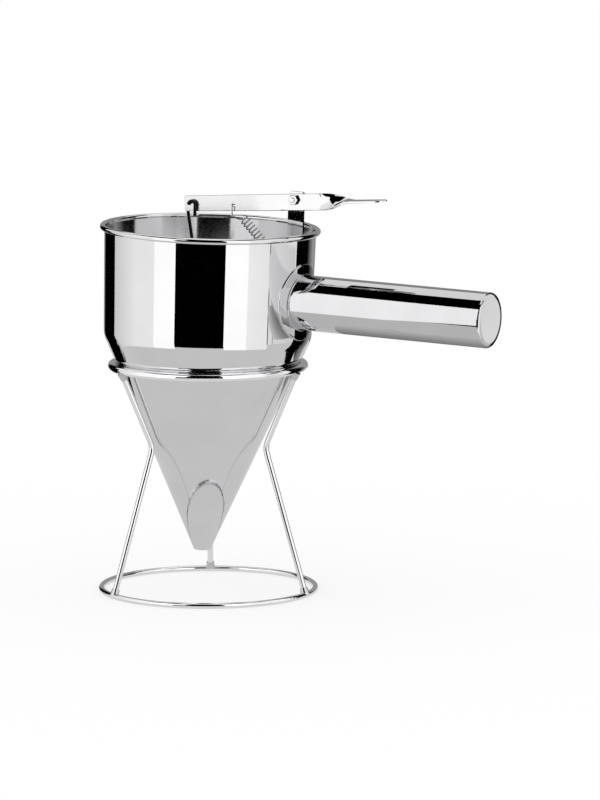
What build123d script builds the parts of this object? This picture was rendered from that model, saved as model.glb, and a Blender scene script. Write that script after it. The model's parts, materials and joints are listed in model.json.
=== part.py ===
from build123d import *
import math
import os

# Hand-held funnel dispenser for batter, standing in its wire stand.
# Millimetres. The origin is the centre of the stand's base ring, on the table.
# +Z is up, +X points along the handle, and the lever's nut is on the -Y side.
# The hopper and all that it carries are drawn upright in a frame of their own, whose origin is
# the middle of the corner between cup and cone, and are then set leaning into the stand's ring.

# Stand
BASE_RING_DIAMETER = 129.5      # middle of the wire
BASE_WIRE = 3.5
BASE_FLAT = 0.2                 # depth of the flat that is worn under the base ring
TOP_RING_DIAMETER = 115.6       # middle of the wire
TOP_RING_HEIGHT = 137.3         # middle of the wire, above the table
TOP_WIRE = 5.0
LEG_WIRE = 3.5
LEG_BEND_HEIGHT = 89.5          # where a leg turns outwards, above the table
LEG_BEND_RADIUS = 11.0
LEG_OUTSET = 1.3                # leg's middle outside the top ring's middle
LEG_TURNS = {"handle_side": 2.0, "rear": 117.0, "front": 237.0}  # degrees from the handle, from above
WELD_LENGTH = 2.8
WELD_FLARE = 1.1                # how far a weld stands out at its wide end
WELD_LIP = 0.45                 # how far it stands out at its narrow end

# Hopper
SHEET = 0.8
CUP_TOP_RADIUS = 63.6           # outside, at the rim
CUP_BOTTOM_RADIUS = 62.5        # outside, at the corner above the cone
CUP_HEIGHT = 65.0               # corner to the middle of the rim bead
RIM_BEAD_DIAMETER = 3.5
CORNER_RADIUS = 14.0            # outside rounding between the cup's wall and the cone
SEAM_DEPTH = 7.0                # corner to the seam between cup and cone, along the cone
CONE_HEIGHT = 130.5             # corner to the nozzle's mouth
NOZZLE_DIAMETER = 10.0          # outside of the mouth
HOPPER_LEAN = 1.8               # degrees that the hopper leans towards its heavy handle

# Handle
HANDLE_DIAMETER = 33.0
HANDLE_WALL = 1.0
HANDLE_LENGTH = 124.0           # cup wall to the end cap's outer face
HANDLE_DROP = 39.3              # rim bead to the handle's axis
FLANGE_DIAMETER = 46.0
FLANGE_THICKNESS = 1.0
FLANGE_EDGE = 0.5               # rounding of the flange's edge
HANDLE_WELD = 0.7               # height and width of the bead round the handle's root
HANDLE_WELD_ROUND = 0.5         # rounding of the bead's crest
CAP_THICKNESS = 2.4
CAP_EDGE = 1.8                  # rounding of the cap's edge
CAP_SPIGOT = 4.0                # length of the cap's collar inside the tube

# Lever bracket and pivot
BRACKET_WIDTH = 9.5
BRACKET_THICKNESS = 2.0
BRACKET_BELOW_RIM = 34.0
BRACKET_ABOVE_PIVOT = 4.7
BRACKET_CORNER = 1.5
BRACKET_WELD = 1.8              # leg length of the fillets along the wall
BRACKET_WELD_LENGTH = 22.0
PIVOT_ABOVE_RIM = 22.1
BOLT_DIAMETER = 3.0
BOLT_HEAD_HEIGHT = 2.0
BOLT_END = 0.8                  # bolt showing past the nut
HEX_ACROSS_FLATS = 5.5
NUT_HEIGHT = 2.4
HEX_CHAMFER = 0.3
WASHER_DIAMETER = 7.0
WASHER_THICKNESS = 0.5

# Thumb lever, measured along the strip from the pivot
LEVER_THICKNESS = 1.5
LEVER_HEIGHT = 10.0
LEVER_FRONT_HEIGHT = 9.4
LEVER_TAPER_END = 20.0          # where the strip reaches its full height, ahead of the pivot
LEVER_AXIS_DROP = 1.5           # strip's middle line below the pivot
LEVER_TILT = 5.0                # degrees that the paddle end stands up at rest
LEVER_CORNER = 1.0
LEVER_EDGE = 0.4                # rounding of the strip's long edges
ROD_HOLE_REACH = 71.0           # pivot to the rod's hole
LEVER_NOSE = 3.1                # strip ahead of the rod's hole
SPRING_HOLE_REACH = 41.0        # pivot to the spring's hole
SPRING_HOLE_DROP = 1.0          # spring's hole below the middle line
TWIST_START = 15.0
TWIST_LENGTH = 24.0
TWIST_STEPS = 8
PADDLE_END = 60.5
PADDLE_TAPER = 16.0             # length over which the tip is thinned from below
PADDLE_TIP_THICKNESS = 0.9

# Plunger
ROD_DIAMETER = 2.0
ROD_BEND = 2.0                  # radius of the rod's bends
ROD_FRONT_BEND = 1.3            # tighter bend where the rod comes out of the lever
ROD_KNEE_DEPTH = 5.5            # where the rod leaves the nozzle's axis, below the cone's corner
ROD_KNEE_RADIUS = 60.0
ROD_ELBOW_OUT = 2.5             # rod's elbow ahead of the lever's hole
ROD_ELBOW_DROP = 5.5            # rod's elbow below the lever's hole
CROOK_WIDTH = 4.9               # hole to the crook's free end
CROOK_TOP_REACH = 2.1           # hole to the crook's top
CROOK_TOP_RISE = 2.2            # crook's top above the hole, before it is rounded
CROOK_SHOULDER_RISE = 1.0       # where the crook turns down, above the hole
CROOK_DROP = 6.9                # crook's free end below the hole
STOPPER_RISE = 6.0              # stopper's lower face above the nozzle's mouth
STOPPER_HEIGHT = 9.0
STOPPER_CROWN = 3.0             # sloping top above the seat
STOPPER_HUB_DIAMETER = 6.0
ROD_SOCKET = 7.0                # depth of the rod in the stopper

# Return spring
SPRING_WIRE = 0.8
SPRING_DIAMETER = 6.0           # outside of the coil
SPRING_TURNS = 14
SPRING_HOLE_DIAMETER = 2.4
SPRING_FOOT_DEPTH = 22.0        # bracket's spring hole below the rim
SPRING_FOOT_INSET = 2.6         # bracket's spring hole from its inner edge
SPRING_TOP_HOOK = 14.0          # lever's hole to the first turn, along the spring
SPRING_FOOT_HOOK = 9.0          # last turn to the bracket's hole, along the spring
HOOK_BEND = 1.3

# Clearances
SEAT_GAP = 0.3                  # hopper above the ring, and stopper above its seat
BRAZE_GAP = 0.05                # between curved faces that are welded together
RUNNING_FIT = 0.08              # radial, pins in holes
SIDE_PLAY = 0.1                 # beside the lever
BEND_CLEARANCE = 0.2            # straight wire left between a bend and the lever's face

# Places that follow from the sizes above
base_ring_radius = BASE_RING_DIAMETER / 2
base_ring_height = BASE_WIRE / 2 - BASE_FLAT
top_ring_radius = TOP_RING_DIAMETER / 2
cone_slope = (CUP_BOTTOM_RADIUS - NOZZLE_DIAMETER / 2) / CONE_HEIGHT
cone_angle = math.atan(cone_slope)
rim_z = CUP_HEIGHT
mouth_z = -CONE_HEIGHT
cup_slope = (CUP_TOP_RADIUS - CUP_BOTTOM_RADIUS) / CUP_HEIGHT
wall_up = Vector(cup_slope, 0, 1).normalized()
wall_in = Vector(-wall_up.Z, 0, wall_up.X)
cone_up = Vector(cone_slope, 0, 1).normalized()
cone_in = Vector(-cone_up.Z, 0, cone_up.X)

lever_back = -(ROD_BEND + BEND_CLEARANCE)
lever_front = lever_back - LEVER_THICKNESS
lever_middle = (lever_back + lever_front) / 2
bracket_front = lever_back + SIDE_PLAY + WASHER_THICKNESS
bracket_back = bracket_front + BRACKET_THICKNESS


def cup_outer_radius(z):
    return CUP_BOTTOM_RADIUS + z * cup_slope


def cup_inner_radius(z):
    return cup_outer_radius(z) - SHEET / wall_up.Z


def cone_outer_radius(z):
    return CUP_BOTTOM_RADIUS + z * cone_slope


def cone_inner_radius(z):
    return cone_outer_radius(z) - SHEET / math.cos(cone_angle)


# The leaning cone keeps the same gap to the ring's wire on the handle's side, where it
# opens wider, and on the far side, where it is steeper. Two equations give its place.
lean = math.radians(HOPPER_LEAN)
near_angle = cone_angle + lean
far_angle = cone_angle - lean
corner_reach = top_ring_radius - CUP_BOTTOM_RADIUS * math.cos(lean)
corner_dip = CUP_BOTTOM_RADIUS * math.sin(lean)
wire_reach = TOP_WIRE / 2 + SEAT_GAP
near_side = (
    wire_reach
    - corner_reach * math.cos(near_angle)
    + (TOP_RING_HEIGHT + corner_dip) * math.sin(near_angle)
)
far_side = (
    wire_reach
    - corner_reach * math.cos(far_angle)
    + (TOP_RING_HEIGHT - corner_dip) * math.sin(far_angle)
)
both_sides = math.sin(near_angle + far_angle)
hopper_x = (far_side * math.sin(near_angle) - near_side * math.sin(far_angle)) / both_sides
hopper_z = (far_side * math.cos(near_angle) + near_side * math.cos(far_angle)) / both_sides
hopper_place = Pos(hopper_x, 0, hopper_z) * Rot(0, HOPPER_LEAN, 0)

bracket_low_z = rim_z - BRACKET_BELOW_RIM
bracket_inner_x = cup_inner_radius(bracket_low_z) - BRAZE_GAP - BRACKET_WIDTH
bracket_outer_x = cup_inner_radius(rim_z) - BRAZE_GAP
pivot = Vector((bracket_inner_x + bracket_outer_x) / 2, 0, rim_z + PIVOT_ABOVE_RIM)
lever_place = Pos(pivot.X, 0, pivot.Z) * Rot(0, -LEVER_TILT, 0)


def on_lever(along, up):
    """Point in the lever's middle plane, from distances along the strip and above its middle line."""
    tilt = math.radians(LEVER_TILT)
    height = up - LEVER_AXIS_DROP
    x = pivot.X + along * math.cos(tilt) - height * math.sin(tilt)
    z = pivot.Z + along * math.sin(tilt) + height * math.cos(tilt)
    return Vector(x, lever_middle, z)


rod_hole = on_lever(-ROD_HOLE_REACH, 0)
spring_hole = on_lever(-SPRING_HOLE_REACH, -SPRING_HOLE_DROP)
spring_foot = Vector(
    bracket_inner_x + SPRING_FOOT_INSET,
    (bracket_front + bracket_back) / 2,
    rim_z - SPRING_FOOT_DEPTH,
)


FROM_BASE = (Align.CENTER, Align.CENTER, Align.MIN)
FROM_TOP = (Align.CENTER, Align.CENTER, Align.MAX)


def spin(*corners):
    """Solid of revolution about Z from the corners of its half section, as (radius, height)."""
    outline = Polyline(*[(radius, 0, height) for radius, height in corners], close=True)
    return revolve(make_face(outline), Axis.Z)


def wire_along(path, diameter):
    """Round wire swept along a path."""
    section = Plane(path @ 0, z_dir=path % 0) * Circle(diameter / 2)
    return sweep(section, path=path)


# Stand

def base_ring(extra=0.0):
    ring = Pos(0, 0, base_ring_height) * Torus(base_ring_radius, BASE_WIRE / 2 + extra)
    size = 2 * BASE_RING_DIAMETER
    floor = Pos(0, 0, -extra) * Box(size, size, BASE_WIRE, align=FROM_TOP)
    return ring - floor


def top_ring(extra=0.0):
    return Pos(0, 0, TOP_RING_HEIGHT) * Torus(top_ring_radius, TOP_WIRE / 2 + extra)


leg_foot = Vector(base_ring_radius, 0, base_ring_height)
leg_beside_ring = Vector(top_ring_radius + LEG_OUTSET, 0, TOP_RING_HEIGHT)
leg_top = leg_beside_ring - cone_up * (TOP_WIRE / 4)
leg_bend = leg_beside_ring - cone_up * ((TOP_RING_HEIGHT - LEG_BEND_HEIGHT) / cone_up.Z)


def leg_wire(diameter):
    """One leg in the XZ plane, from the middle of the base ring to the underside of the top ring."""
    return wire_along(FilletPolyline(leg_foot, leg_bend, leg_top, radius=LEG_BEND_RADIUS), diameter)


def weld_sleeve(point, direction):
    """Fillet round a leg's end, wide at the point and narrow at its far end."""
    wide = LEG_WIRE / 2 + WELD_FLARE
    narrow = LEG_WIRE / 2 + WELD_LIP
    reach = WELD_LENGTH + BASE_WIRE / 2
    cone = Cone(wide, narrow, reach, align=FROM_BASE)
    return Plane(point, z_dir=direction) * cone


def one_solid(shape):
    """The largest solid of a shape, without the crumbs that a cut can leave."""
    return shape.solids().sort_by(SortBy.VOLUME)[-1]


def stand_parts():
    leg = one_solid(leg_wire(LEG_WIRE) - base_ring(BRAZE_GAP) - top_ring(BRAZE_GAP))
    sleeve_hole = leg_wire(LEG_WIRE + 2 * BRAZE_GAP)
    upper_half = Pos(leg_foot) * Box(4 * WELD_LENGTH, 4 * WELD_LENGTH, 4 * WELD_LENGTH, align=FROM_BASE)
    foot_weld = weld_sleeve(leg_foot, leg_bend - leg_foot) - sleeve_hole - base_ring(BRAZE_GAP)
    foot_weld = one_solid(foot_weld & upper_half)
    ring_weld = one_solid(weld_sleeve(leg_top, leg_bend - leg_top) - sleeve_hole - top_ring(BRAZE_GAP))
    parts = {"stand_base_ring": base_ring(), "stand_top_ring": top_ring()}
    for place, degrees in LEG_TURNS.items():
        turn = Rot(0, 0, degrees)
        parts[f"stand_leg_{place}"] = turn * leg
        parts[f"stand_foot_weld_{place}"] = turn * foot_weld
        parts[f"stand_ring_weld_{place}"] = turn * ring_weld
    return parts


# Hopper

corner_outer = Vector(CUP_BOTTOM_RADIUS, 0, 0)
corner_run = CORNER_RADIUS * math.tan((cone_angle - math.atan(cup_slope)) / 2)
corner_centre = corner_outer + wall_up * corner_run + wall_in * CORNER_RADIUS
seam_outer = corner_outer - cone_up * SEAM_DEPTH
seam_inner = seam_outer + cone_in * SHEET


def corner_points(depth):
    """Start, middle and end of the corner's rounding, up from the cone, at a depth in the sheet."""
    radius = CORNER_RADIUS - depth
    middle_way = (corner_outer - corner_centre).normalized()
    start = corner_centre - cone_in * radius
    end = corner_centre - wall_in * radius
    return start, corner_centre + middle_way * radius, end


def hopper_cup():
    bead = RIM_BEAD_DIAMETER / 2
    bead_inner = Vector(cup_inner_radius(rim_z), 0, rim_z)
    centre = bead_inner - wall_in * bead
    half_chord = math.sqrt(bead**2 - (bead - SHEET) ** 2)
    bead_under = centre + wall_in * (bead - SHEET) - wall_up * half_chord
    bead_outer = centre - wall_in * bead
    outer_start, outer_middle, outer_end = corner_points(0)
    inner_start, inner_middle, inner_end = corner_points(SHEET)
    section = [
        Line(seam_outer, outer_start),
        ThreePointArc(outer_start, outer_middle, outer_end),
        Line(outer_end, bead_under),
        ThreePointArc(bead_under, centre - wall_up * bead, bead_outer),
        ThreePointArc(bead_outer, centre + wall_up * bead, bead_inner),
        Line(bead_inner, inner_end),
        ThreePointArc(inner_end, inner_middle, inner_start),
        Line(inner_start, seam_inner),
        Line(seam_inner, seam_outer),
    ]
    return revolve(make_face(section), Axis.Z)


def hopper_cone():
    return spin(
        (seam_outer.X, seam_outer.Z),
        (seam_inner.X, seam_inner.Z),
        (cone_inner_radius(mouth_z), mouth_z),
        (cone_outer_radius(mouth_z), mouth_z),
    )


# Handle

handle_z = rim_z - HANDLE_DROP
handle_plane = Plane((cup_outer_radius(handle_z), 0, handle_z), x_dir=(0, 1, 0), z_dir=(1, 0, 0))
handle_radius = HANDLE_DIAMETER / 2


def cup_block(extra):
    """The cup as a full block, grown by a thickness, over the height of the handle's flange.

    It is turned so that its surface closes on the side away from the handle.
    """
    low = handle_z - FLANGE_DIAMETER
    high = handle_z + FLANGE_DIAMETER
    block = spin(
        (0, low),
        (cup_outer_radius(low) + extra, low),
        (cup_outer_radius(high) + extra, high),
        (0, high),
    )
    return Rot(0, 0, 180) * block


def height_on_cup(point):
    return math.hypot(point.X, point.Y) - cup_outer_radius(point.Z)


def on_flange_front(edge):
    """Whether an edge lies all along the flange's outer face, away from the cup."""
    heights = [height_on_cup(edge @ share) for share in (0, 0.5, 1)]
    return min(heights) > BRAZE_GAP + FLANGE_THICKNESS / 2


def on_weld_crest(edge):
    """Whether an edge is the outer, upper one of the bead round the handle."""
    middle = edge @ 0.5
    height = height_on_cup(middle) - FLANGE_THICKNESS
    width = math.hypot(middle.Y, middle.Z - handle_z) - handle_radius
    return min(height, width) > 0.75 * HANDLE_WELD


def handle_flange():
    plate = cup_block(BRAZE_GAP + FLANGE_THICKNESS) - cup_block(BRAZE_GAP)
    disc = handle_plane * Cylinder(FLANGE_DIAMETER / 2, FLANGE_DIAMETER)
    plate = one_solid(plate & disc)
    return fillet(plate.edges().filter_by(on_flange_front), FLANGE_EDGE)


def handle_weld():
    """Bead in the corner between the handle and the flange."""
    flange_face = FLANGE_THICKNESS + 2 * BRAZE_GAP
    layer = cup_block(flange_face + HANDLE_WELD) - cup_block(flange_face)
    inner_radius = handle_radius + BRAZE_GAP
    outside = Cylinder(inner_radius + HANDLE_WELD, HANDLE_DIAMETER)
    hole = Cylinder(inner_radius, HANDLE_DIAMETER)
    bead = one_solid(layer & handle_plane * (outside - hole))
    return fillet(bead.edges().filter_by(on_weld_crest), HANDLE_WELD_ROUND)


def handle_tube():
    length = HANDLE_LENGTH - CAP_THICKNESS
    root = handle_radius
    outside = Cylinder(handle_radius, length + root, align=FROM_BASE)
    bore = Cylinder(handle_radius - HANDLE_WALL, length + root, align=FROM_BASE)
    tube = handle_plane * Pos(0, 0, -root) * (outside - bore)
    return one_solid(tube - cup_block(FLANGE_THICKNESS + 2 * BRAZE_GAP))


def handle_end_cap():
    disc = Cylinder(handle_radius, CAP_THICKNESS, align=FROM_BASE)
    disc = fillet(disc.edges().sort_by(Axis.Z)[-1], CAP_EDGE)
    collar_radius = handle_radius - HANDLE_WALL - BRAZE_GAP
    collar = Cylinder(collar_radius, CAP_SPIGOT, align=FROM_TOP)
    hollow = Cylinder(collar_radius - HANDLE_WALL, CAP_SPIGOT, align=FROM_TOP)
    return handle_plane * Pos(0, 0, HANDLE_LENGTH - CAP_THICKNESS) * (disc + (collar - hollow))


# Bracket and pivot

def hole_along_y(x, z, diameter):
    """Cutting cylinder along Y, long enough to pass through the lever and the bracket."""
    length = 2 * (bracket_back - lever_front + LEVER_HEIGHT)
    return Pos(x, 0, z) * Rot(90, 0, 0) * Cylinder(diameter / 2, length)


def lever_bracket():
    top_z = pivot.Z + BRACKET_ABOVE_PIVOT
    outline = Polyline(
        (bracket_inner_x, 0, bracket_low_z),
        (cup_inner_radius(bracket_low_z) - BRAZE_GAP, 0, bracket_low_z),
        (bracket_outer_x, 0, rim_z),
        (bracket_outer_x, 0, top_z),
        (bracket_inner_x, 0, top_z),
        close=True,
    )
    strip = extrude(Pos(0, bracket_back, 0) * make_face(outline), BRACKET_THICKNESS, dir=(0, -1, 0))
    corners = strip.edges().filter_by(Axis.Y).sort_by(Axis.Z)[-2:]
    strip = fillet(corners, BRACKET_CORNER)
    strip -= hole_along_y(pivot.X, pivot.Z, BOLT_DIAMETER + 2 * RUNNING_FIT)
    return strip - hole_along_y(spring_foot.X, spring_foot.Z, SPRING_HOLE_DIAMETER)


def bracket_weld(face_y, side):
    """Fillet along the wall beside the bracket, on the side (1 or -1) of the face at face_y."""
    low_z = bracket_low_z + (BRACKET_BELOW_RIM - BRACKET_WELD_LENGTH) / 2
    radius = cup_inner_radius(low_z)
    plane = Plane((radius, 0, low_z), x_dir=(0, 1, 0), z_dir=wall_up)
    near = face_y + side * BRAZE_GAP
    far = face_y + side * BRACKET_WELD
    lift = radius - math.sqrt(radius**2 - far**2) + BRAZE_GAP
    triangle = Polyline((near, lift), (far, lift), (near, BRACKET_WELD), close=True)
    return extrude(plane * make_face(triangle), BRACKET_WELD_LENGTH, dir=wall_up)


pivot_plane = Plane((pivot.X, bracket_back, pivot.Z), x_dir=(1, 0, 0), z_dir=(0, -1, 0))
nut_seat = bracket_back - lever_front + SIDE_PLAY


def hexagon(height):
    """Hexagonal prism with chamfered corners on its upper face."""
    prism = extrude(RegularPolygon(HEX_ACROSS_FLATS / 2, 6, major_radius=False), height)
    return chamfer(prism.faces().sort_by(Axis.Z)[-1].edges(), HEX_CHAMFER)


def pivot_bolt():
    head = Rot(180, 0, 0) * hexagon(BOLT_HEAD_HEIGHT)
    shank = Cylinder(BOLT_DIAMETER / 2, nut_seat + NUT_HEIGHT + BOLT_END, align=FROM_BASE)
    shank = chamfer(shank.edges().sort_by(Axis.Z)[-1], HEX_CHAMFER)
    return pivot_plane * (head + shank)


def pivot_nut():
    hole = Cylinder(BOLT_DIAMETER / 2 + BRAZE_GAP, 2 * NUT_HEIGHT)
    return pivot_plane * Pos(0, 0, nut_seat) * (hexagon(NUT_HEIGHT) - hole)


def pivot_washer():
    ring = Cylinder(WASHER_DIAMETER / 2, WASHER_THICKNESS, align=FROM_BASE)
    hole = Cylinder(BOLT_DIAMETER / 2 + RUNNING_FIT, 4 * WASHER_THICKNESS)
    return pivot_plane * Pos(0, 0, BRACKET_THICKNESS) * (ring - hole)


# Thumb lever, drawn level with the pivot at the origin and then set in place

def lever_twist():
    """The strip's quarter turn, from standing on edge to lying flat."""
    sections = []
    for step in range(TWIST_STEPS + 1):
        share = step / TWIST_STEPS
        angle = -math.pi / 2 * share**2 * (3 - 2 * share)
        plane = Plane(
            (TWIST_START + TWIST_LENGTH * share, lever_middle, -LEVER_AXIS_DROP),
            x_dir=(0, math.cos(angle), math.sin(angle)),
            z_dir=(1, 0, 0),
        )
        sections.append(plane * RectangleRounded(LEVER_THICKNESS, LEVER_HEIGHT, LEVER_EDGE))
    return loft(sections)


def soften(strip, thin_way, joined_x):
    """Rounds the edges round a strip's two broad faces, but not where it runs on at joined_x."""
    rounded = [
        edge
        for edge in strip.edges()
        if abs(edge.tangent_at(0.5).dot(thin_way)) < 0.5 and abs((edge @ 0.5).X - joined_x) > LEVER_EDGE
    ]
    return fillet(rounded, LEVER_EDGE)


def lever_paddle():
    """The flat end under the thumb, with a round tip that is thinned from below."""
    start = TWIST_START + TWIST_LENGTH
    half = LEVER_HEIGHT / 2
    tip_start = PADDLE_END - half
    low = -LEVER_THICKNESS / 2
    outline = [
        Line((start, -half), (tip_start, -half)),
        ThreePointArc((tip_start, -half), (PADDLE_END, 0), (tip_start, half)),
        Line((tip_start, half), (start, half)),
        Line((start, half), (start, -half)),
    ]
    flat = extrude(Pos(0, 0, low) * make_face(outline), LEVER_THICKNESS)
    flat = soften(flat, Vector(0, 0, 1), start)
    taper_start = PADDLE_END - PADDLE_TAPER
    past_tip = PADDLE_END + PADDLE_TAPER
    rise = LEVER_THICKNESS - PADDLE_TIP_THICKNESS
    wedge = Polyline(
        (taper_start, 0, low),
        (past_tip, 0, low + 2 * rise),
        (past_tip, 0, -LEVER_THICKNESS),
        (taper_start, 0, -LEVER_THICKNESS),
        close=True,
    )
    return flat - extrude(make_face(wedge), LEVER_HEIGHT, dir=(0, 1, 0), both=True)


def thumb_lever():
    nose_x = -ROD_HOLE_REACH - LEVER_NOSE
    top = LEVER_HEIGHT / 2 - LEVER_AXIS_DROP
    low = -LEVER_HEIGHT / 2 - LEVER_AXIS_DROP
    nose_top = LEVER_FRONT_HEIGHT / 2 - LEVER_AXIS_DROP
    nose_low = -LEVER_FRONT_HEIGHT / 2 - LEVER_AXIS_DROP
    outline = Polyline(
        (nose_x, 0, nose_low),
        (-LEVER_TAPER_END, 0, low),
        (TWIST_START, 0, low),
        (TWIST_START, 0, top),
        (-LEVER_TAPER_END, 0, top),
        (nose_x, 0, nose_top),
        close=True,
    )
    strip = extrude(Pos(0, lever_back, 0) * make_face(outline), LEVER_THICKNESS, dir=(0, -1, 0))
    strip = fillet(strip.edges().filter_by(Axis.Y).sort_by(Axis.X)[:2], LEVER_CORNER)
    strip = soften(strip, Vector(0, 1, 0), TWIST_START)
    lever = strip + lever_twist() + Pos(0, lever_middle, -LEVER_AXIS_DROP) * lever_paddle()
    lever -= hole_along_y(0, 0, BOLT_DIAMETER + 2 * RUNNING_FIT)
    lever -= hole_along_y(-ROD_HOLE_REACH, -LEVER_AXIS_DROP, ROD_DIAMETER + 2 * RUNNING_FIT)
    spring_z = -LEVER_AXIS_DROP - SPRING_HOLE_DROP
    lever -= hole_along_y(-SPRING_HOLE_REACH, spring_z, SPRING_HOLE_DIAMETER)
    return lever_place * one_solid(lever)


# Plunger

stopper_low_z = mouth_z + STOPPER_RISE
stopper_top_z = stopper_low_z + STOPPER_HEIGHT
rod_end_z = stopper_top_z + STOPPER_CROWN - ROD_SOCKET


def plunger_rod():
    front_y = lever_front - BEND_CLEARANCE - ROD_FRONT_BEND
    tail_x = rod_hole.X + CROOK_WIDTH
    path = FilletPolyline(
        (0, 0, rod_end_z),
        (0, 0, -ROD_KNEE_DEPTH),
        (rod_hole.X - ROD_ELBOW_OUT, 0, rod_hole.Z - ROD_ELBOW_DROP),
        (rod_hole.X, 0, rod_hole.Z),
        (rod_hole.X, front_y, rod_hole.Z),
        (rod_hole.X + CROOK_TOP_REACH, front_y, rod_hole.Z + CROOK_TOP_RISE),
        (tail_x, front_y, rod_hole.Z + CROOK_SHOULDER_RISE),
        (tail_x, front_y, rod_hole.Z - CROOK_DROP),
        radius=[ROD_KNEE_RADIUS, ROD_BEND, ROD_BEND, ROD_FRONT_BEND, ROD_BEND, ROD_BEND],
    )
    return wire_along(path, ROD_DIAMETER)


def plunger_stopper():
    gap = SEAT_GAP / math.cos(cone_angle)
    plug = spin(
        (0, stopper_low_z),
        (cone_inner_radius(stopper_low_z) - gap, stopper_low_z),
        (cone_inner_radius(stopper_top_z) - gap, stopper_top_z),
        (STOPPER_HUB_DIAMETER / 2, stopper_top_z + STOPPER_CROWN),
        (0, stopper_top_z + STOPPER_CROWN),
    )
    hole = Cylinder(ROD_DIAMETER / 2 + BRAZE_GAP, 2 * ROD_SOCKET, align=FROM_BASE)
    return plug - Pos(0, 0, rod_end_z) * hole


# Return spring

def biarc(start, start_way, end, end_way):
    """Two tangent arcs from one point and direction to another."""
    chord = end - start
    both = start_way + end_way
    bend = 2 * (1 - start_way.dot(end_way))
    along = chord.dot(both)
    if bend < 1e-9:
        reach = chord.dot(chord) / (2 * along)
    else:
        reach = (math.sqrt(along**2 + bend * chord.dot(chord)) - along) / bend
    first = start + start_way * reach
    second = end - end_way * reach
    middle = (first + second) * 0.5
    return [
        TangentArc(start, middle, tangent=start_way),
        TangentArc(middle, end, tangent=(second - first).normalized()),
    ]


def coil_knots(start, end):
    """Points and directions at each quarter turn of a coil between two points of its axis."""
    axis = (end - start).normalized()
    across = axis.cross(Vector(0, -1, 0)).normalized()
    front = across.cross(axis)
    radius = (SPRING_DIAMETER - SPRING_WIRE) / 2
    pitch = (end - start).length / SPRING_TURNS
    knots = []
    for quarter in range(4 * SPRING_TURNS + 1):
        angle = math.pi / 2 * quarter
        spoke = front * math.cos(angle) + across * math.sin(angle)
        way = across * math.cos(angle) - front * math.sin(angle)
        point = start + axis * (pitch * quarter / 4) + spoke * radius
        knots.append((point, (way * (2 * math.pi * radius) + axis * pitch).normalized()))
    return knots


def spring_path():
    """The spring's wire from behind the lever, through its hole, round the coil and into the bracket."""
    to_front = Vector(0, -1, 0)
    to_back = Vector(0, 1, 0)
    down = Vector(0, 0, -1)
    front_y = lever_front - BEND_CLEARANCE - HOOK_BEND
    top = Vector(spring_hole.X, front_y, spring_hole.Z)
    foot = Vector(spring_foot.X, bracket_front - BEND_CLEARANCE - HOOK_BEND, spring_foot.Z)
    axis = (foot - top).normalized()
    coil = coil_knots(top + axis * SPRING_TOP_HOOK, foot - axis * SPRING_FOOT_HOOK)
    behind = Vector(spring_hole.X, lever_back + 2 * SPRING_WIRE, spring_hole.Z)
    entry = Vector(spring_hole.X, lever_front - BEND_CLEARANCE, spring_hole.Z)
    hang = top + down * HOOK_BEND
    below = on_lever(-SPRING_HOLE_REACH, -LEVER_HEIGHT / 2)
    drop = Vector(top.X, front_y, below.Z)
    arrive = foot - axis * HOOK_BEND
    inside = Vector(foot.X, bracket_front - BEND_CLEARANCE, foot.Z)
    out = Vector(foot.X, bracket_back + 2 * SPRING_WIRE, foot.Z)
    edges = [Line(behind, entry)]
    edges += biarc(entry, to_front, hang, down)
    edges.append(Line(hang, drop))
    edges += biarc(drop, down, *coil[0])
    for knot, following in zip(coil, coil[1:]):
        edges += biarc(*knot, *following)
    edges += biarc(*coil[-1], arrive, axis)
    edges += biarc(arrive, axis, inside, to_back)
    edges.append(Line(inside, out))
    return Wire(edges)


def least_gap(path, wire):
    """Smallest air gap between stretches of a wire that are over five wire diameters apart along it."""
    steps_per_diameter = 2
    count = int(path.length / wire * steps_per_diameter)
    points = [path @ (number / count) for number in range(count + 1)]
    apart = 5 * steps_per_diameter
    least = math.inf
    for number, point in enumerate(points):
        for other in points[number + apart:]:
            least = min(least, (other - point).length)
    return least - wire


def return_spring():
    path = spring_path()
    gap = least_gap(path, SPRING_WIRE)
    print(f"spring wire length {path.length:.2f}, least gap to itself {gap:.2f}")
    return wire_along(path, SPRING_WIRE)


hopper_parts = {
    "hopper_cup": hopper_cup(),
    "hopper_cone": hopper_cone(),
    "handle_flange": handle_flange(),
    "handle_weld": handle_weld(),
    "handle_tube": handle_tube(),
    "handle_end_cap": handle_end_cap(),
    "lever_bracket": lever_bracket(),
    "bracket_weld_front": bracket_weld(bracket_front, -1),
    "bracket_weld_back": bracket_weld(bracket_back, 1),
    "pivot_bolt": pivot_bolt(),
    "pivot_washer": pivot_washer(),
    "pivot_nut": pivot_nut(),
    "thumb_lever": thumb_lever(),
    "plunger_rod": plunger_rod(),
    "plunger_stopper": plunger_stopper(),
    "return_spring": return_spring(),
}

parts = stand_parts()
for name, piece in hopper_parts.items():
    parts[name] = hopper_place * piece

os.makedirs("parts", exist_ok=True)
for name, piece in parts.items():
    piece.label = name
    export_step(piece, f"parts/{name}.step")
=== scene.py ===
"""Looks of the batter dispenser: its steel finishes, the wound spring, the studio and the camera."""
import json
import math

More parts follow.
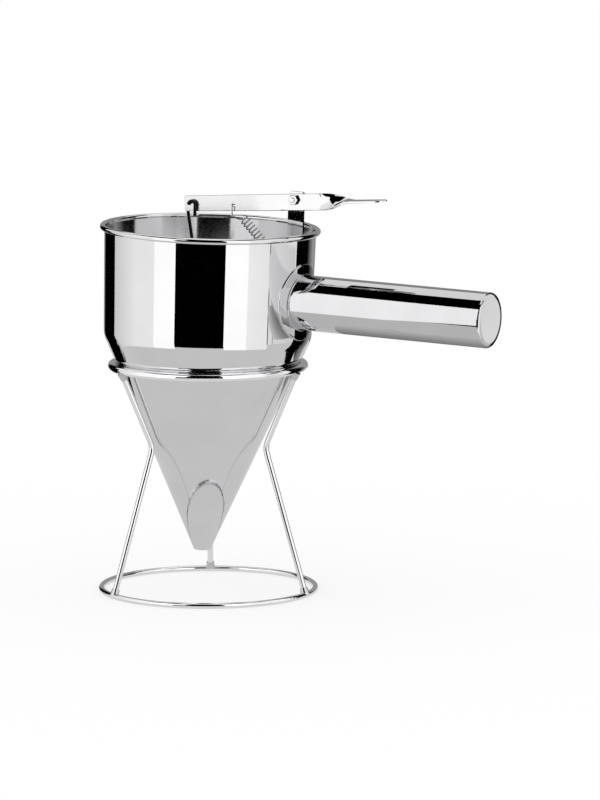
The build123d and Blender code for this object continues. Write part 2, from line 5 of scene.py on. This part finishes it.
import bpy
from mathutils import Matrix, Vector


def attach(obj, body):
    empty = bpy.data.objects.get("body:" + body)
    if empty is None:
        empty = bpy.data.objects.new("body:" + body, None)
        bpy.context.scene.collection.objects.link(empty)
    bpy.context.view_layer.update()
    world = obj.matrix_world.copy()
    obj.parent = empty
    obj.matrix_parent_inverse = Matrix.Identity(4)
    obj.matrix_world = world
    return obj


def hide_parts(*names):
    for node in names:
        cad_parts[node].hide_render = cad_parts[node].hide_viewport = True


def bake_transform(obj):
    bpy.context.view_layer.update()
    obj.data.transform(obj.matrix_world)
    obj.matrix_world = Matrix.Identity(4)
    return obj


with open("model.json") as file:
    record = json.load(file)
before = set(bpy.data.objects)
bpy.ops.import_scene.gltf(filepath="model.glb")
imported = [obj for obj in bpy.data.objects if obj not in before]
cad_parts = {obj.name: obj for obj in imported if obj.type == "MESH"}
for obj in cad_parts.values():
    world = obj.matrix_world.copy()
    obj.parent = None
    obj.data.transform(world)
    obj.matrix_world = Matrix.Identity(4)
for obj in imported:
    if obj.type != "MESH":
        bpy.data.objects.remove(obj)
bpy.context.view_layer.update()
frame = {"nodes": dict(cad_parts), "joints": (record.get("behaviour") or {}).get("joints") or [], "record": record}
joints = {joint["name"]: joint for joint in frame["joints"]}

# Camera
CAMERA_PLACE = (1.4167, -2.6584, 0.5422)
CAMERA_TILT = 81.9435           # degrees from looking straight down
CAMERA_AZIMUTH = 27.0
CAMERA_LENS = 227.0
CAMERA_SENSOR = 36.0
CAMERA_REACH = 100.0            # farthest that it sees

# Hopper's own frame: the corner between cup and cone, on the hopper's axis
HOPPER_ORIGIN = (-0.000244, 0.0, 0.154992)
HOPPER_LEAN = 1.8               # degrees towards the handle
CUP_HEIGHT = 0.065
RIM_POLISH = 0.0008             # how far the rim's polish reaches below its middle
BEAD_RADIUS = 0.06455           # rim bead's middle line, from the axis
BEAD_HEIGHT = 0.06497           # its height above the corner
BEAD_REACH = 0.0018             # just past the bead's surface

# Places where the pieces meet
PIVOT = joints["lever_pivot"]["pos_m"]
HANDLE_ROOT = (0.063467, 0.0, 0.178703)

# End cap, from the handle's root and its axis
CAP_START = 0.1221              # where the cap begins, along the axis
CAP_FLAT = 0.0126               # radius within which the cap's face is flat
CAP_ROUND = 0.0148              # radius at which its rounding is full
CAP_TILT = 0.35                 # how far the rounding turns the face outwards

# Lever's arm, from the pivot
ARM_POLISH = (-0.030, -0.012)   # where its brushing turns into polish
ARM_ROUGHNESS = 0.22            # how much rougher the brushing is

# Return spring
SPRING_HOLE = Vector((0.019379, -0.0052, 0.235452))
SPRING_FOOT = Vector((0.056354, -0.0031, 0.196235))
SPRING_WIRE = 0.0008
SPRING_DIAMETER = 0.006
SPRING_FIRST_TURN = 0.5         # the coil starts at the back
SPRING_LAST_TURN = 14
SPRING_TOP_HOOK = 0.011         # from the lever's hole to the coil, along the axis
SPRING_FOOT_HOOK = 0.012        # from the coil to the bracket's hole
HOOK_BEND = 0.0013              # how far a hook's bend reaches to each side of its corner
TOP_TAIL_Y = -0.0006            # wire's end behind the lever
FOOT_TAIL_Y = 0.002             # wire's end behind the bracket
LEVER_UNDERSIDE = 0.2303
STEPS_PER_TURN = 28
BEND_STEPS = 8
DROP_STEPS = 4
TOP_RUN_STEPS = 24
FOOT_RUN_STEPS = 20
WIRE_SIDES = 12

# Studio cards round the object, which only the steel shows: name, first and last azimuth in degrees from -Y
# towards +X, how near a skirt of the card comes along the floor, the card's own distance, lowest and highest
# edge, and brightness at the first and at the last azimuth
CARDS = (
    ("tent", -180, 180, 0.80, 0.80, 0.0, 0.95, 1.0, 1.0),
    ("tall_back", 100, 264, 0.79, 0.79, 0.0, 2.50, 1.0, 1.0),
    ("low_back", 158, 235, 0.78, 0.78, 0.0, 0.80, 0.3, 0.3),
    ("fade_left", -96.0, -55.0, 0.31, 0.72, 0.0, 0.95, 0.70, 1.05),
    ("soft_left", -55.0, -32.2, 0.31, 0.72, 0.0, 0.95, 1.05, 1.05),
    ("bright_left", -32.2, -8.0, 0.31, 0.70, 0.0, 0.95, 1.3, 1.3),
    ("black_front", -8.0, 44.4, 0.42, 0.70, 0.0, 1.05, 0.0, 0.0),
    ("high_left", -8.0, 3.2, 0.69, 0.69, 0.27, 0.95, 1.3, 1.3),
    ("bright_right", 44.4, 69.2, 0.31, 0.70, 0.0, 1.05, 1.3, 1.3),
    ("soft_right", 69.2, 94.6, 0.31, 0.72, 0.0, 1.05, 1.08, 1.03),
    ("panel_right", 94.6, 132.0, 0.72, 0.72, 0.0, 0.098, 0.92, 0.75),
    ("line_near", 94.0, 95.2, 0.71, 0.71, 0.0, 0.098, 0.12, 0.12),
    ("line_far", 100.8, 101.9, 0.71, 0.71, 0.0, 0.060, 0.35, 0.35),
    ("black_right", 127.5, 151.5, 0.24, 0.30, 0.0, 0.60, 0.0, 0.0),
    ("high_right", 127.0, 131.8, 0.29, 0.29, 0.26, 0.60, 1.0, 1.0),
    ("fade_right", 151.5, 172.0, 0.30, 0.30, 0.0, 0.60, 0.0, 0.4),
    ("black_left", -127.0, -91.5, 0.30, 0.45, 0.0, 0.27, 0.0, 0.0),
    ("black_left_high", -127.0, -106.0, 0.45, 0.45, 0.27, 0.60, 0.0, 0.0),
    # dark strip just under the lever, close to the hopper, which paints shade on the bracket's steel under the
    # lever
    ("bracket_flag", 9.0, 22.0, 0.08, 0.08, 0.2172, 0.2251, 0.0, 0.0),
)
CARD_STEP = 2.0                 # degrees between a card's uprights
SKIRT_HEIGHT = 0.002

# Level cards: name, reach along X, rows along Y, height, and brightness of each row. The card under the handle,
# light in front and dark behind, paints the floor's shadow under the handle into its steel; the ceiling closes the
# studio; the flag above the lever's twist paints dark reflections on it.
LEVEL_CARDS = (
    # painted shadow of the floor under the handle, which only the handle's steel shows: light in front, dark
    # behind
    ("tray", (0.084, 0.190), (-0.016, -0.004, 0.015), 0.153, (0.66, 0.36, 0.12)),
    ("ceiling", (-0.60, 0.80), (-0.80, 0.80), 2.50, (1.0, 1.0)),
    # black card just above the lever's twist, travelling with the hopper, which paints dark reflections on the
    # twist
    ("twist_flag", (0.058, 0.088), (-0.045, 0.027), 0.28, (0.0, 0.0)),
)

# Cards close to the hopper, which travel with it
HOPPER_CARDS = ("bracket_flag", "tray", "twist_flag")

# Floor
FLOOR_RADIUS = 12.0
FLOOR_CORNERS = 64
FLOOR_GLOW = 0.6                # share of the floor's white that no shadow darkens
FLOOR_SEEN = 0.7                # floor's grey in the steel

# Steel: scales are in patches per metre
NOISE_DETAIL = 3.0
FINE_DETAIL = 4.0
HAZE_SCALE = 45.0
SMUDGE_SCALE = 110.0
SMUDGE_EDGE = (0.58, 0.75)      # share of the noise at which a smudge begins and is full
SMUDGE_WEAR = 0.15              # how much rougher a smudge is

# Tones of steel, where its haze is dark and where it is light
BRIGHT = dict(dark=(0.86, 0.86, 0.87), light=(0.94, 0.94, 0.95))
PLAIN = dict(dark=(0.70, 0.70, 0.71), light=(0.79, 0.79, 0.80))
SOFT = dict(dark=(0.58, 0.58, 0.59), light=(0.67, 0.67, 0.68))
GREY = dict(dark=(0.36, 0.36, 0.37), light=(0.46, 0.46, 0.47))
# near-black, far darker than any steel, so that the plunger rod and plug render black
DEEP = dict(dark=(0.010, 0.010, 0.011), light=(0.020, 0.020, 0.021))

# Finish of each slot but the hopper's: polishing lines per metre along each axis, least and most roughness,
# depth of the lines in metres, tones, and the frame that the lines follow where it isn't the object's own
FINISHES = {
    "stand_wire": dict(grain=(300, 300, 40), rough=(0.04, 0.14), depth=2e-6, **BRIGHT),
    "weld_bead": dict(grain=(700, 700, 700), rough=(0.10, 0.32), depth=6e-5, **SOFT),
    "handle_steel": dict(
        grain=(12, 900, 900), rough=(0.02, 0.06), depth=5e-7, **SOFT, origin=HANDLE_ROOT, lean=HOPPER_LEAN
    ),
    "lever_strip": dict(
        grain=(25, 2600, 2600), rough=(0.02, 0.06), depth=2e-6, **PLAIN, origin=PIVOT, lean=HOPPER_LEAN
    ),
    "fastener_steel": dict(grain=(900, 60, 900), rough=(0.06, 0.20), depth=3e-6, **PLAIN, origin=PIVOT),
    "plunger_steel": dict(grain=(60, 60, 2400), rough=(0.04, 0.14), depth=1e-6, **DEEP),
    "spring_wire": dict(grain=(900, 900, 900), rough=(0.06, 0.18), depth=1e-6, **GREY),
}

# Hopper's sheet
# Tones of the sheet: the dark one is the inside's, which paints the shade inside the bowl; the light one is the
# outside's
SHEET_SHADED_INSIDE = (0.46, 0.46, 0.47)
SHEET_LIGHT = (0.80, 0.80, 0.81)
SHEET_HAZE_SCALE = 40.0
SHEET_HAZE = 0.3                # share of the haze in the tone, the rest being the polish
POLISH_GRAIN = (12.0, 12.0, 900.0)
POLISH_ROUGHNESS = (0.02, 0.06)
POLISH_RELIEF = 0.02            # brushing lines left on the polished side
BRUSH_GRAIN = (18.0, 18.0, 4200.0)
BRUSH_ROUGHNESS = (0.08, 0.18)
BRUSH_DEPTH = 0.000004          # depth of the brushing lines round the hopper's inside
BRUSH_SPREAD = 1.0              # how far the brushing spreads reflections one way
BRUSH_UPRIGHT = 0.25            # turn of that spread, so that it runs up and down the wall
BRUSH_LIFT = 0.29               # how far the brushing turns the wall's shine upwards


# Node helpers

def feed(tree, socket, value):
    """Links a socket's value or sets it."""
    if isinstance(value, bpy.types.NodeSocket):
        tree.links.new(value, socket)
    else:
        socket.default_value = value


def shader_node(tree, kind, **inputs):
    """Node with its inputs linked or set; a space in an input's name is written as a low line."""
    made = tree.nodes.new("ShaderNode" + kind)
    for name, value in inputs.items():
        feed(tree, made.inputs[name.replace("_", " ")], value)
    return made


def calculate(tree, operation, *values):
    made = tree.nodes.new("ShaderNodeMath")
    made.operation = operation
    for socket, value in zip(made.inputs, values):
        feed(tree, socket, value)
    return made.outputs[0]


def calculate_vector(tree, operation, *values):
    made = tree.nodes.new("ShaderNodeVectorMath")
    made.operation = operation
    for socket, value in zip(made.inputs, values):
        feed(tree, socket, value)
    return made


def between(tree, share, low, high):
    """Low where the share is 0 and high where it is 1."""
    made = shader_node(tree, "MapRange", Value=share, To_Min=low, To_Max=high)
    return made.outputs["Result"]


def window(tree, value, low, high):
    """0 below low, 1 above high, smooth in between."""
    made = shader_node(tree, "MapRange", Value=value, From_Min=low, From_Max=high)
    made.interpolation_type = "SMOOTHSTEP"
    return made.outputs["Result"]


def speckle(tree, place, scale, detail=NOISE_DETAIL):
    """Noise from 0 to 1."""
    made = shader_node(tree, "TexNoise", Vector=place, Scale=scale, Detail=detail)
    return made.outputs["Fac"]


def stretched(tree, place, scale):
    made = shader_node(tree, "Mapping", Vector=place, Scale=scale)
    return made.outputs["Vector"]


def local_place(tree, origin, lean):
    """Object coordinates in a frame that starts at origin and leans about Y."""
    coordinates = shader_node(tree, "TexCoord")
    mapping = shader_node(tree, "Mapping", Vector=coordinates.outputs["Object"])
    mapping.vector_type = "TEXTURE"
    mapping.inputs["Location"].default_value = origin
    mapping.inputs["Rotation"].default_value = (0, math.radians(lean), 0)
    return mapping.outputs["Vector"]


# Materials

def new_material(name):
    material = bpy.data.materials.new(name)
    material.use_nodes = True
    tree = material.node_tree
    shader = tree.nodes["Principled BSDF"]
    shader.inputs["Metallic"].default_value = 1.0
    return material, tree, shader


def shade(tree, share, dark, light):
    """Colour that runs from a dark steel to a light one."""
    mix = tree.nodes.new("ShaderNodeMix")
    mix.data_type = "RGBA"
    feed(tree, mix.inputs["Factor"], share)
    feed(tree, mix.inputs["A"], (*dark, 1.0))
    feed(tree, mix.inputs["B"], (*light, 1.0))
    return mix.outputs["Result"]


def set_bump(tree, shader, height, depth):
    bump = shader_node(tree, "Bump", Height=height, Distance=depth)
    tree.links.new(bump.outputs["Normal"], shader.inputs["Normal"])
    return bump


def turn_normal(tree, bump, lean):
    """Turns a surface's shading by a vector before the bump."""
    surface = shader_node(tree, "NewGeometry").outputs["Normal"]
    turned = calculate_vector(tree, "ADD", surface, lean)
    straight = calculate_vector(tree, "NORMALIZE", turned.outputs["Vector"])
    tree.links.new(straight.outputs["Vector"], bump.inputs["Normal"])


def steel(name, grain, rough, depth, dark, light, origin=(0, 0, 0), lean=0):
    """Steel with polishing lines along the axis of the least grain, faint haze and smudges."""
    material, tree, shader = new_material(name)
    place = local_place(tree, origin, lean)
    lines = speckle(tree, stretched(tree, place, grain), 1.0)
    haze = speckle(tree, place, HAZE_SCALE)
    smudge = window(tree, speckle(tree, place, SMUDGE_SCALE, FINE_DETAIL), *SMUDGE_EDGE)
    feed(tree, shader.inputs["Base Color"], shade(tree, haze, dark, light))
    wear = calculate(tree, "MULTIPLY", lines, haze)
    worn = calculate(tree, "MULTIPLY_ADD", smudge, SMUDGE_WEAR, wear)
    feed(tree, shader.inputs["Roughness"], between(tree, worn, *rough))
    set_bump(tree, shader, lines, depth)
    return material


def bead_turn(tree, place, spoke, surface):
    """Vector that turns the rim bead's shading straight out from its middle line."""
    outward = calculate_vector(tree, "NORMALIZE", spoke).outputs["Vector"]
    radii = (BEAD_RADIUS, BEAD_RADIUS, 0)
    middle = calculate_vector(tree, "MULTIPLY_ADD", outward, radii, (0, 0, BEAD_HEIGHT))
    offset = calculate_vector(tree, "SUBTRACT", place, middle.outputs["Vector"]).outputs["Vector"]
    distance = calculate_vector(tree, "LENGTH", offset).outputs["Value"]
    lean = math.radians(HOPPER_LEAN)
    leaning = shader_node(tree, "VectorRotate", Vector=offset, Axis=(0, 1, 0), Angle=lean)
    straight = calculate_vector(tree, "NORMALIZE", leaning.outputs["Vector"]).outputs["Vector"]
    error = calculate_vector(tree, "SUBTRACT", straight, surface).outputs["Vector"]
    turn = calculate_vector(tree, "SCALE", error)
    feed(tree, turn.inputs["Scale"], calculate(tree, "LESS_THAN", distance, BEAD_REACH))
    return turn.outputs["Vector"]


def hopper_steel():
    """Sheet that is mirror polished outside and brushed round the inside, whose darker tone paints the shade
    inside the bowl.
    """
    material, tree, shader = new_material("hopper_sheet")
    place = local_place(tree, HOPPER_ORIGIN, HOPPER_LEAN)
    spot = shader_node(tree, "SeparateXYZ", Vector=place)
    spoke = shader_node(tree, "CombineXYZ", X=spot.outputs["X"], Y=spot.outputs["Y"])
    surface = shader_node(tree, "NewGeometry").outputs["Normal"]
    facing = calculate_vector(tree, "DOT_PRODUCT", surface, spoke.outputs["Vector"])
    outside = calculate(tree, "GREATER_THAN", facing.outputs["Value"], 0.0)
    rim = calculate(tree, "GREATER_THAN", spot.outputs["Z"], CUP_HEIGHT - RIM_POLISH)
    polished = calculate(tree, "MAXIMUM", outside, rim)
    brushing = speckle(tree, stretched(tree, place, BRUSH_GRAIN), 1.0, FINE_DETAIL)
    spinning = speckle(tree, stretched(tree, place, POLISH_GRAIN), 1.0)
    haze = speckle(tree, place, SHEET_HAZE_SCALE)
    hazy = calculate(tree, "MULTIPLY", haze, SHEET_HAZE)
    # the inside's darker tone is painted shade inside the bowl
    tone = calculate(tree, "MULTIPLY_ADD", polished, 1 - SHEET_HAZE, hazy)
    feed(tree, shader.inputs["Base Color"], shade(tree, tone, SHEET_SHADED_INSIDE, SHEET_LIGHT))
    polish = between(tree, calculate(tree, "MULTIPLY", spinning, haze), *POLISH_ROUGHNESS)
    brush = between(tree, brushing, *BRUSH_ROUGHNESS)
    mix = tree.nodes.new("ShaderNodeMix")
    feed(tree, mix.inputs["Factor"], polished)
    feed(tree, mix.inputs["A"], brush)
    feed(tree, mix.inputs["B"], polish)
    feed(tree, shader.inputs["Roughness"], mix.outputs["Result"])
    relief = calculate(tree, "MULTIPLY", brushing, between(tree, polished, 1.0, POLISH_RELIEF))
    bump = set_bump(tree, shader, relief, BRUSH_DEPTH)
    lift = shader_node(tree, "CombineXYZ", Z=between(tree, polished, BRUSH_LIFT, 0.0))
    bead = bead_turn(tree, place, spoke.outputs["Vector"], surface)
    turn = calculate_vector(tree, "ADD", lift.outputs["Vector"], bead)
    turn_normal(tree, bump, turn.outputs["Vector"])
    shader.inputs["Anisotropic"].default_value = BRUSH_SPREAD
    shader.inputs["Anisotropic Rotation"].default_value = BRUSH_UPRIGHT
    around = tree.nodes.new("ShaderNodeTangent")
    around.direction_type = "RADIAL"
    around.axis = "Z"
    tree.links.new(around.outputs["Tangent"], shader.inputs["Tangent"])
    return material


def round_cap(tree):
    """Rounds off the shading of the end cap's face towards its edge."""
    place = local_place(tree, HANDLE_ROOT, HOPPER_LEAN)
    spot = shader_node(tree, "SeparateXYZ", Vector=place)
    across = shader_node(tree, "CombineXYZ", Y=spot.outputs["Y"], Z=spot.outputs["Z"])
    radius = calculate_vector(tree, "LENGTH", across.outputs["Vector"])
    spoke = calculate_vector(tree, "NORMALIZE", across.outputs["Vector"])
    cap = calculate(tree, "GREATER_THAN", spot.outputs["X"], CAP_START)
    rounding = window(tree, radius.outputs["Value"], CAP_FLAT, CAP_ROUND)
    tilt = calculate(tree, "MULTIPLY", calculate(tree, "MULTIPLY", cap, rounding), CAP_TILT)
    lean = calculate_vector(tree, "SCALE", spoke.outputs["Vector"])
    feed(tree, lean.inputs["Scale"], tilt)
    turn_normal(tree, tree.nodes["Bump"], lean.outputs["Vector"])


def brush_arm(tree):
    """Brushes the lever along its arm and leaves the pivot and the twist polished."""
    roughness = tree.nodes["Principled BSDF"].inputs["Roughness"]
    spot = shader_node(tree, "SeparateXYZ", Vector=local_place(tree, PIVOT, HOPPER_LEAN))
    polished = window(tree, spot.outputs["X"], *ARM_POLISH)
    brushed = between(tree, polished, ARM_ROUGHNESS, 0.0)
    feed(tree, roughness, calculate(tree, "ADD", roughness.links[0].from_socket, brushed))


def make_finishes():
    made = {slot: steel(slot, **finish) for slot, finish in FINISHES.items()}
    made["hopper_sheet"] = hopper_steel()
    round_cap(made["handle_steel"].node_tree)
    brush_arm(made["lever_strip"].node_tree)
    return made


finishes = make_finishes()
for subpart in frame["record"]["subparts"]:
    mesh = frame["nodes"][subpart["node"]].data
    mesh.materials.clear()
    mesh.materials.append(finishes[subpart["material_slot"]])


# Spring

def run_between(start, start_way, end, end_way, steps):
    """Points of a smooth run from one point and direction to another, the first left out."""
    reach = (end - start).length
    points = []
    for step in range(1, steps + 1):
        t = step / steps
        rest = 1 - t
        first = start * (rest**3 + 3 * rest**2 * t)
        last = end * (t**3 + 3 * rest * t**2)
        lead = start_way * (rest**2 * t * reach)
        trail = end_way * (rest * t**2 * reach)
        points.append(first + last + lead - trail)
    return points


def coil_points(start, end):
    """Points and end directions of a coil between two points of its axis."""
    axis = (end - start).normalized()
    across = axis.cross(Vector((0, -1, 0))).normalized()
    front = across.cross(axis)
    radius = (SPRING_DIAMETER - SPRING_WIRE) / 2
    turns = SPRING_LAST_TURN - SPRING_FIRST_TURN
    pitch = (end - start).length / turns
    points = []
    for step in range(round(turns * STEPS_PER_TURN) + 1):
        turn = step / STEPS_PER_TURN
        angle = 2 * math.pi * (SPRING_FIRST_TURN + turn)
        spoke = front * math.cos(angle) + across * math.sin(angle)
        points.append(start + axis * (pitch * turn) + spoke * radius)
    first_way = (points[1] - points[0]).normalized()
    last_way = (points[-1] - points[-2]).normalized()
    return points, first_way, last_way


def spring_line():
    """The wire's middle line from behind the lever, round the coil and into the bracket."""
    to_front = Vector((0, -1, 0))
    to_back = Vector((0, 1, 0))
    down = Vector((0, 0, -1))
    axis = (SPRING_FOOT - SPRING_HOLE).normalized()
    start = SPRING_HOLE + axis * SPRING_TOP_HOOK
    coil, first_way, last_way = coil_points(start, SPRING_FOOT - axis * SPRING_FOOT_HOOK)
    tail = Vector((SPRING_HOLE.x, TOP_TAIL_Y, SPRING_HOLE.z))
    entry = SPRING_HOLE + to_back * HOOK_BEND
    hang = SPRING_HOLE + down * HOOK_BEND
    drop = Vector((SPRING_HOLE.x, SPRING_HOLE.y, LEVER_UNDERSIDE))
    arrive = SPRING_FOOT - axis * HOOK_BEND
    inside = SPRING_FOOT + to_back * HOOK_BEND
    end = Vector((SPRING_FOOT.x, FOOT_TAIL_Y, SPRING_FOOT.z))
    line = [tail, entry]
    line += run_between(entry, to_front, hang, down, BEND_STEPS)
    line += run_between(hang, down, drop, down, DROP_STEPS)
    line += run_between(drop, down, coil[0], first_way, TOP_RUN_STEPS)
    line += coil[1:]
    line += run_between(coil[-1], last_way, arrive, axis, FOOT_RUN_STEPS)
    line += run_between(arrive, axis, inside, to_back, BEND_STEPS)
    line.append(end)
    return line


def wire_mesh(name, line, diameter):
    """Round wire along a line of points, with closed ends."""
    points = []
    way = (line[1] - line[0]).normalized()
    side = way.orthogonal().normalized()
    for number, point in enumerate(line):
        before = line[max(number - 1, 0)]
        after = line[min(number + 1, len(line) - 1)]
        way = (after - before).normalized()
        side = (side - way * side.dot(way)).normalized()
        up = way.cross(side)
        for corner in range(WIRE_SIDES):
            angle = 2 * math.pi * corner / WIRE_SIDES
            spoke = side * math.cos(angle) + up * math.sin(angle)
            points.append(point + spoke * (diameter / 2))
    faces = []
    for ring in range(len(line) - 1):
        for corner in range(WIRE_SIDES):
            following = (corner + 1) % WIRE_SIDES
            low = ring * WIRE_SIDES
            high = low + WIRE_SIDES
            faces.append((low + corner, low + following, high + following, high + corner))
    faces.append(tuple(reversed(range(WIRE_SIDES))))
    last = (len(line) - 1) * WIRE_SIDES
    faces.append(tuple(range(last, last + WIRE_SIDES)))
    mesh = bpy.data.meshes.new(name)
    mesh.from_pydata(points, [], faces)
    for face in mesh.polygons:
        face.use_smooth = len(face.vertices) == 4
    return mesh


def add_object(name, mesh, material):
    piece = bpy.data.objects.new(name, mesh)
    bpy.context.collection.objects.link(piece)
    mesh.materials.append(material)
    return piece


spring = add_object("return_spring_wound", wire_mesh("return_spring_wound", spring_line(), SPRING_WIRE),
                    finishes["spring_wire"])
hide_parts("return_spring")
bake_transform(spring)


# Studio

def card_material():
    """Light of the brightness that each point of a card carries."""
    material = bpy.data.materials.new("card")
    material.use_nodes = True
    tree = material.node_tree
    tree.nodes.remove(tree.nodes["Principled BSDF"])
    glow = tree.nodes.new("ShaderNodeAttribute")
    glow.attribute_name = "glow"
    light = shader_node(tree, "Emission", Strength=glow.outputs["Fac"])
    tree.links.new(light.outputs["Emission"], tree.nodes["Material Output"].inputs["Surface"])
    return material


def add_card(name, points, across, glow, material):
    """Card over rows of so many points across, which shows in the steel alone."""
    faces = []
    for row in range(0, len(points) - across, across):
        for corner in range(row, row + across - 1):
            faces.append((corner, corner + across, corner + across + 1, corner + 1))
    mesh = bpy.data.meshes.new(name)
    mesh.from_pydata(points, [], faces)
    layer = mesh.attributes.new("glow", "FLOAT", "POINT")
    layer.data.foreach_set("value", glow)
    card = add_object(name, mesh, material)
    card.visible_camera = False
    card.visible_diffuse = False
    card.visible_transmission = False
    card.visible_shadow = False
    if name in HOPPER_CARDS:
        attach(card, "hopper")


def add_round_card(material, name, first, last, near, distance, low, high, first_glow, last_glow):
    """Card bent round the upright axis, with a skirt on the floor where that comes nearer."""
    count = math.ceil((last - first) / CARD_STEP)
    edges = [(distance, low), (distance, high)]
    if near < distance:
        edges = [(near, SKIRT_HEIGHT), (distance, SKIRT_HEIGHT), (distance, high)]
    points = []
    glow = []
    for number in range(count + 1):
        share = number / count
        azimuth = math.radians(first + (last - first) * share)
        for reach, height in edges:
            points.append((reach * math.sin(azimuth), -reach * math.cos(azimuth), height))
            glow.append(first_glow + (last_glow - first_glow) * share)
    add_card(name, points, len(edges), glow, material)


def add_level_card(material, name, reach, rows, height, row_glow):
    """Flat card at one height."""
    points = []
    glow = []
    for y, brightness in zip(rows, row_glow):
        points += [(x, y, height) for x in reach]
        glow += [brightness] * len(reach)
    add_card(name, points, len(reach), glow, material)


def floor_material():
    """White for the camera, with the object's soft shadow, and pale grey in the steel."""
    material = bpy.data.materials.new("floor")
    material.use_nodes = True
    tree = material.node_tree
    tree.nodes.remove(tree.nodes["Principled BSDF"])
    lit = shader_node(tree, "BsdfDiffuse", Color=(1 - FLOOR_GLOW,) * 3 + (1.0,))
    shine = shader_node(tree, "Emission", Strength=FLOOR_GLOW)
    white = tree.nodes.new("ShaderNodeAddShader")
    tree.links.new(lit.outputs["BSDF"], white.inputs[0])
    tree.links.new(shine.outputs["Emission"], white.inputs[1])
    grey = shader_node(tree, "Emission", Strength=FLOOR_SEEN)
    path = tree.nodes.new("ShaderNodeLightPath")
    mix = tree.nodes.new("ShaderNodeMixShader")
    tree.links.new(path.outputs["Is Camera Ray"], mix.inputs["Fac"])
    tree.links.new(grey.outputs["Emission"], mix.inputs[1])
    tree.links.new(white.outputs["Shader"], mix.inputs[2])
    tree.links.new(mix.outputs["Shader"], tree.nodes["Material Output"].inputs["Surface"])
    return material


def add_floor():
    corners = []
    for number in range(FLOOR_CORNERS):
        angle = 2 * math.pi * number / FLOOR_CORNERS
        corners.append((FLOOR_RADIUS * math.cos(angle), FLOOR_RADIUS * math.sin(angle), 0.0))
    mesh = bpy.data.meshes.new("floor")
    mesh.from_pydata(corners, [], [tuple(range(FLOOR_CORNERS))])
    add_object("floor", mesh, floor_material())


def light_world():
    """Even white light; the steel sees the cards instead."""
    world = bpy.data.worlds.new("studio")
    world.use_nodes = True
    sky = world.node_tree.nodes["Background"]
    sky.inputs["Color"].default_value = (1.0, 1.0, 1.0, 1.0)
    sky.inputs["Strength"].default_value = 1.0
    world.cycles_visibility.glossy = False
    bpy.context.scene.world = world


def add_camera():
    lens = bpy.data.cameras.new("camera")
    lens.lens = CAMERA_LENS
    lens.sensor_width = CAMERA_SENSOR
    camera = bpy.data.objects.new("camera", lens)
    bpy.context.collection.objects.link(camera)
    camera.location = CAMERA_PLACE
    camera.rotation_euler = (math.radians(CAMERA_TILT), 0, math.radians(CAMERA_AZIMUTH))
    lens.clip_end = CAMERA_REACH
    bpy.context.scene.camera = camera


cards = card_material()
for facts in CARDS:
    add_round_card(cards, *facts)
for facts in LEVEL_CARDS:
    add_level_card(cards, *facts)
add_floor()
light_world()
add_camera()
bpy.context.scene.view_settings.view_transform = "Standard"
